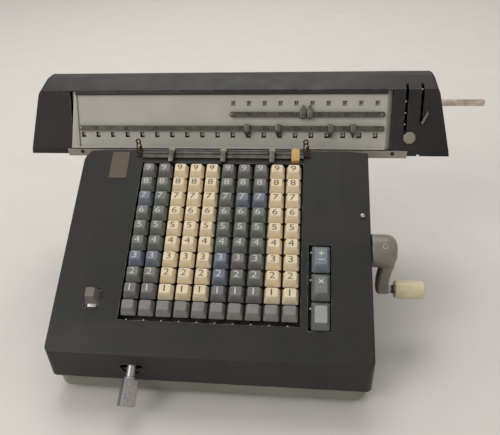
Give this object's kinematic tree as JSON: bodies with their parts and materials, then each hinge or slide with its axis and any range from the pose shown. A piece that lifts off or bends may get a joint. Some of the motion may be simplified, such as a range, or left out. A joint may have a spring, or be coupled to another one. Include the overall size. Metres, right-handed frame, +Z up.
{
  "type": "pinwheel calculator",
  "caption": "Desk calculating machine with a sloping full keyboard, a shifting carriage of number dials on top and a hand crank at the right.",
  "frame": {"origin": "on the table, under the middle of the machine's overall box", "axes": "+X to the operator's right along the carriage, +Y from the operator to the rear, +Z up"},
  "size_m": [0.469, 0.291, 0.2165],
  "materials": {
    "charcoal_paint": "satin, lightly worn",
    "grey_paint": "satin",
    "black_rubber": "matte",
    "plain_steel": "machined",
    "dark_key_plastic": "satin",
    "cream_key_plastic": "satin",
    "grey_key_plastic": "satin",
    "beige_plate": "dull",
    "bar_metal": "satin, scratched",
    "clip_metal": "satin",
    "yellow_paint": "satin",
    "brown_wire": "dull",
    "panel_enamel": "enamel",
    "white_wheel": "satin",
    "black_wheel": "satin",
    "lever_alloy": "cast, dull",
    "crank_casting": "cast, satin",
    "cream_knob_plastic": "glossy"
  },
  "bodies": {
    "machine": {"housing_cover": "charcoal_paint", "base_pan": "grey_paint", "rubber_feet": "black_rubber", "side_frame_left": "plain_steel", "side_frame_right": "plain_steel", "frame_tie_rods": "plain_steel", "key_guide_plate": "plain_steel", "carriage_rail": "plain_steel", "marker_bar": "bar_metal", "blank_plate": "beige_plate", "wire_pointers": "brown_wire"},
    "digit_keys_1": {"digit_keys_column_1": "dark_key_plastic"},
    "digit_keys_2": {"digit_keys_column_2": "dark_key_plastic"},
    "digit_keys_3": {"digit_keys_column_3": "cream_key_plastic"},
    "digit_keys_4": {"digit_keys_column_4": "cream_key_plastic"},
    "digit_keys_5": {"digit_keys_column_5": "cream_key_plastic"},
    "digit_keys_6": {"digit_keys_column_6": "dark_key_plastic"},
    "digit_keys_7": {"digit_keys_column_7": "dark_key_plastic"},
    "digit_keys_8": {"digit_keys_column_8": "dark_key_plastic"},
    "digit_keys_9": {"digit_keys_column_9": "cream_key_plastic"},
    "digit_keys_10": {"digit_keys_column_10": "cream_key_plastic"},
    "clear_key_1": {"clear_key_1": "grey_key_plastic"},
    "clear_key_2": {"clear_key_2": "grey_key_plastic"},
    "clear_key_3": {"clear_key_3": "grey_key_plastic"},
    "clear_key_4": {"clear_key_4": "grey_key_plastic"},
    "clear_key_5": {"clear_key_5": "grey_key_plastic"},
    "clear_key_6": {"clear_key_6": "grey_key_plastic"},
    "clear_key_7": {"clear_key_7": "grey_key_plastic"},
    "clear_key_8": {"clear_key_8": "grey_key_plastic"},
    "clear_key_9": {"clear_key_9": "grey_key_plastic"},
    "clear_key_10": {"clear_key_10": "grey_key_plastic"},
    "plus_minus_key": {"plus_minus_key": "dark_key_plastic"},
    "multiply_divide_key": {"multiply_divide_key": "dark_key_plastic"},
    "blank_function_key": {"blank_function_key": "grey_key_plastic"},
    "setting_key": {"setting_key": "grey_key_plastic"},
    "front_shift_lever": {"front_shift_lever": "lever_alloy"},
    "rotor": {"pinwheel_rotor": "plain_steel"},
    "crank": {"crank_shaft": "plain_steel", "crank_arm": "crank_casting"},
    "crank_knob": {"crank_knob": "cream_knob_plastic"},
    "idler": {"idler_gear": "plain_steel"},
    "carriage": {"carriage_hood": "charcoal_paint", "register_panel": "panel_enamel", "carriage_frame": "charcoal_paint", "lower_marker_bar": "bar_metal", "upper_marker_bar": "bar_metal"},
    "result_dials": {"result_dials": "black_wheel"},
    "counter_dials": {"counter_dials": "white_wheel"},
    "result_clearing_lever": {"result_clearing_lever": "plain_steel"},
    "counter_clearing_lever": {"counter_clearing_lever": "plain_steel"},
    "lower_clip_1": {"lower_clip_1": "clip_metal"},
    "lower_clip_2": {"lower_clip_2": "clip_metal"},
    "lower_clip_3": {"lower_clip_3": "clip_metal"},
    "lower_clip_4": {"lower_clip_4": "clip_metal"},
    "upper_clip_1": {"upper_clip_1": "clip_metal"},
    "upper_clip_2": {"upper_clip_2": "clip_metal"},
    "keyboard_clip_1": {"keyboard_clip_1": "clip_metal"},
    "keyboard_clip_2": {"keyboard_clip_2": "clip_metal"},
    "keyboard_clip_3": {"keyboard_clip_3": "clip_metal"},
    "yellow_keyboard_clip": {"yellow_keyboard_clip": "yellow_paint"}
  },
  "joints": [
    {"name": "digit_keys_1_press", "type": "slide", "parent": "machine", "child": "digit_keys_1", "axis": [0, 0.5, -0.866], "range_m": [0, 0.004], "stiffness_N_per_m": 250, "springref_m": -0.003},
    {"name": "digit_keys_2_press", "type": "slide", "parent": "machine", "child": "digit_keys_2", "axis": [0, 0.5, -0.866], "range_m": [0, 0.004], "stiffness_N_per_m": 250, "springref_m": -0.003},
    {"name": "digit_keys_3_press", "type": "slide", "parent": "machine", "child": "digit_keys_3", "axis": [0, 0.5, -0.866], "range_m": [0, 0.004], "stiffness_N_per_m": 250, "springref_m": -0.003},
    {"name": "digit_keys_4_press", "type": "slide", "parent": "machine", "child": "digit_keys_4", "axis": [0, 0.5, -0.866], "range_m": [0, 0.004], "stiffness_N_per_m": 250, "springref_m": -0.003},
    {"name": "digit_keys_5_press", "type": "slide", "parent": "machine", "child": "digit_keys_5", "axis": [0, 0.5, -0.866], "range_m": [0, 0.004], "stiffness_N_per_m": 250, "springref_m": -0.003},
    {"name": "digit_keys_6_press", "type": "slide", "parent": "machine", "child": "digit_keys_6", "axis": [0, 0.5, -0.866], "range_m": [0, 0.004], "stiffness_N_per_m": 250, "springref_m": -0.003},
    {"name": "digit_keys_7_press", "type": "slide", "parent": "machine", "child": "digit_keys_7", "axis": [0, 0.5, -0.866], "range_m": [0, 0.004], "stiffness_N_per_m": 250, "springref_m": -0.003},
    {"name": "digit_keys_8_press", "type": "slide", "parent": "machine", "child": "digit_keys_8", "axis": [0, 0.5, -0.866], "range_m": [0, 0.004], "stiffness_N_per_m": 250, "springref_m": -0.003},
    {"name": "digit_keys_9_press", "type": "slide", "parent": "machine", "child": "digit_keys_9", "axis": [0, 0.5, -0.866], "range_m": [0, 0.004], "stiffness_N_per_m": 250, "springref_m": -0.003},
    {"name": "digit_keys_10_press", "type": "slide", "parent": "machine", "child": "digit_keys_10", "axis": [0, 0.5, -0.866], "range_m": [0, 0.004], "stiffness_N_per_m": 250, "springref_m": -0.003},
    {"name": "clear_key_1_press", "type": "slide", "parent": "machine", "child": "clear_key_1", "axis": [0, 0.5, -0.866], "range_m": [0, 0.003], "stiffness_N_per_m": 120, "springref_m": -0.002},
    {"name": "clear_key_2_press", "type": "slide", "parent": "machine", "child": "clear_key_2", "axis": [0, 0.5, -0.866], "range_m": [0, 0.003], "stiffness_N_per_m": 120, "springref_m": -0.002},
    {"name": "clear_key_3_press", "type": "slide", "parent": "machine", "child": "clear_key_3", "axis": [0, 0.5, -0.866], "range_m": [0, 0.003], "stiffness_N_per_m": 120, "springref_m": -0.002},
    {"name": "clear_key_4_press", "type": "slide", "parent": "machine", "child": "clear_key_4", "axis": [0, 0.5, -0.866], "range_m": [0, 0.003], "stiffness_N_per_m": 120, "springref_m": -0.002},
    {"name": "clear_key_5_press", "type": "slide", "parent": "machine", "child": "clear_key_5", "axis": [0, 0.5, -0.866], "range_m": [0, 0.003], "stiffness_N_per_m": 120, "springref_m": -0.002},
    {"name": "clear_key_6_press", "type": "slide", "parent": "machine", "child": "clear_key_6", "axis": [0, 0.5, -0.866], "range_m": [0, 0.003], "stiffness_N_per_m": 120, "springref_m": -0.002},
    {"name": "clear_key_7_press", "type": "slide", "parent": "machine", "child": "clear_key_7", "axis": [0, 0.5, -0.866], "range_m": [0, 0.003], "stiffness_N_per_m": 120, "springref_m": -0.002},
    {"name": "clear_key_8_press", "type": "slide", "parent": "machine", "child": "clear_key_8", "axis": [0, 0.5, -0.866], "range_m": [0, 0.003], "stiffness_N_per_m": 120, "springref_m": -0.002},
    {"name": "clear_key_9_press", "type": "slide", "parent": "machine", "child": "clear_key_9", "axis": [0, 0.5, -0.866], "range_m": [0, 0.003], "stiffness_N_per_m": 120, "springref_m": -0.002},
    {"name": "clear_key_10_press", "type": "slide", "parent": "machine", "child": "clear_key_10", "axis": [0, 0.5, -0.866], "range_m": [0, 0.003], "stiffness_N_per_m": 120, "springref_m": -0.002},
    {"name": "plus_minus_press", "type": "slide", "parent": "machine", "child": "plus_minus_key", "axis": [0, 0.5, -0.866], "range_m": [0, 0.004], "stiffness_N_per_m": 150, "springref_m": -0.002},
    {"name": "multiply_divide_press", "type": "slide", "parent": "machine", "child": "multiply_divide_key", "axis": [0, 0.5, -0.866], "range_m": [0, 0.004], "stiffness_N_per_m": 150, "springref_m": -0.002},
    {"name": "blank_function_press", "type": "slide", "parent": "machine", "child": "blank_function_key", "axis": [0, 0.5, -0.866], "range_m": [0, 0.004], "stiffness_N_per_m": 150, "springref_m": -0.002},
    {"name": "setting_press", "type": "slide", "parent": "machine", "child": "setting_key", "axis": [0, 0.5, -0.866], "range_m": [0, 0.004], "stiffness_N_per_m": 150, "springref_m": -0.002},
    {"name": "front_shift_turn", "type": "hinge", "parent": "machine", "child": "front_shift_lever", "pos_m": [-0.0887, -0.08452, 0.0545], "axis": [0, 0, 1], "range_deg": [-8, 8], "stiffness_Nm_per_rad": 0.4},
    {"name": "rotor_turn", "type": "hinge", "parent": "machine", "child": "rotor", "pos_m": [-0.0225, 0.09948, 0.106], "axis": [1, 0, 0], "continuous": true},
    {"name": "crank_turn", "type": "hinge", "parent": "machine", "child": "crank", "pos_m": [0.1245, -0.01252, 0.099], "axis": [1, 0, 0], "continuous": true},
    {"name": "idler_turn", "type": "hinge", "parent": "machine", "child": "idler", "pos_m": [0.1005, 0.04512, 0.07617], "axis": [1, 0, 0], "continuous": true},
    {"name": "crank_knob_spin", "type": "hinge", "parent": "crank", "child": "crank_knob", "pos_m": [0.1435, -0.02025, 0.05924], "axis": [1, 0, 0], "continuous": true},
    {"name": "carriage_shift", "type": "slide", "parent": "machine", "child": "carriage", "axis": [1, 0, 0], "range_m": [-0.08, 0.064]},
    {"name": "result_dials_turn", "type": "hinge", "parent": "carriage", "child": "result_dials", "pos_m": [-0.0225, 0.09906, 0.16319], "axis": [1, 0, 0], "continuous": true},
    {"name": "counter_dials_turn", "type": "hinge", "parent": "carriage", "child": "counter_dials", "pos_m": [0.2345, 0.11042, 0.19278], "axis": [1, 0, 0], "continuous": true},
    {"name": "result_clearing_pull", "type": "hinge", "parent": "carriage", "child": "result_clearing_lever", "pos_m": [0.158, 0.11042, 0.19278], "axis": [-1, 0, 0], "range_deg": [0, 60], "stiffness_Nm_per_rad": 0.01, "springref_deg": -28.65},
    {"name": "counter_clearing_pull", "type": "hinge", "parent": "carriage", "child": "counter_clearing_lever", "pos_m": [0.1727, 0.11042, 0.19278], "axis": [-1, 0, 0], "range_deg": [0, 60], "stiffness_Nm_per_rad": 0.01, "springref_deg": -28.65},
    {"name": "lower_clip_1_slide", "type": "slide", "parent": "carriage", "child": "lower_clip_1", "axis": [1, 0, 0], "range_m": [-0.1697, 0.0126]},
    {"name": "lower_clip_2_slide", "type": "slide", "parent": "carriage", "child": "lower_clip_2", "axis": [1, 0, 0], "range_m": [-0.0126, 0.0231]},
    {"name": "lower_clip_3_slide", "type": "slide", "parent": "carriage", "child": "lower_clip_3", "axis": [1, 0, 0], "range_m": [-0.0231, 0.0081]},
    {"name": "lower_clip_4_slide", "type": "slide", "parent": "carriage", "child": "lower_clip_4", "axis": [1, 0, 0], "range_m": [-0.008, 0.0214]},
    {"name": "upper_clip_1_slide", "type": "slide", "parent": "carriage", "child": "upper_clip_1", "axis": [1, 0, 0], "range_m": [-0.065, 0.0003]},
    {"name": "upper_clip_2_slide", "type": "slide", "parent": "carriage", "child": "upper_clip_2", "axis": [1, 0, 0], "range_m": [-0.0003, 0.065]},
    {"name": "keyboard_clip_1_slide", "type": "slide", "parent": "machine", "child": "keyboard_clip_1", "axis": [1, 0, 0], "range_m": [-0.0267, 0.0228]},
    {"name": "keyboard_clip_2_slide", "type": "slide", "parent": "machine", "child": "keyboard_clip_2", "axis": [1, 0, 0], "range_m": [-0.0228, 0.0208]},
    {"name": "keyboard_clip_3_slide", "type": "slide", "parent": "machine", "child": "keyboard_clip_3", "axis": [1, 0, 0], "range_m": [-0.0208, 0.0075]},
    {"name": "yellow_keyboard_clip_slide", "type": "slide", "parent": "machine", "child": "yellow_keyboard_clip", "axis": [1, 0, 0], "range_m": [-0.0075, 0.0036]}
  ],
  "couplings": [
    {"joint": "crank_turn", "follows": "rotor_turn", "ratio": 1},
    {"joint": "idler_turn", "follows": "rotor_turn", "ratio": -0.14815}
  ]
}
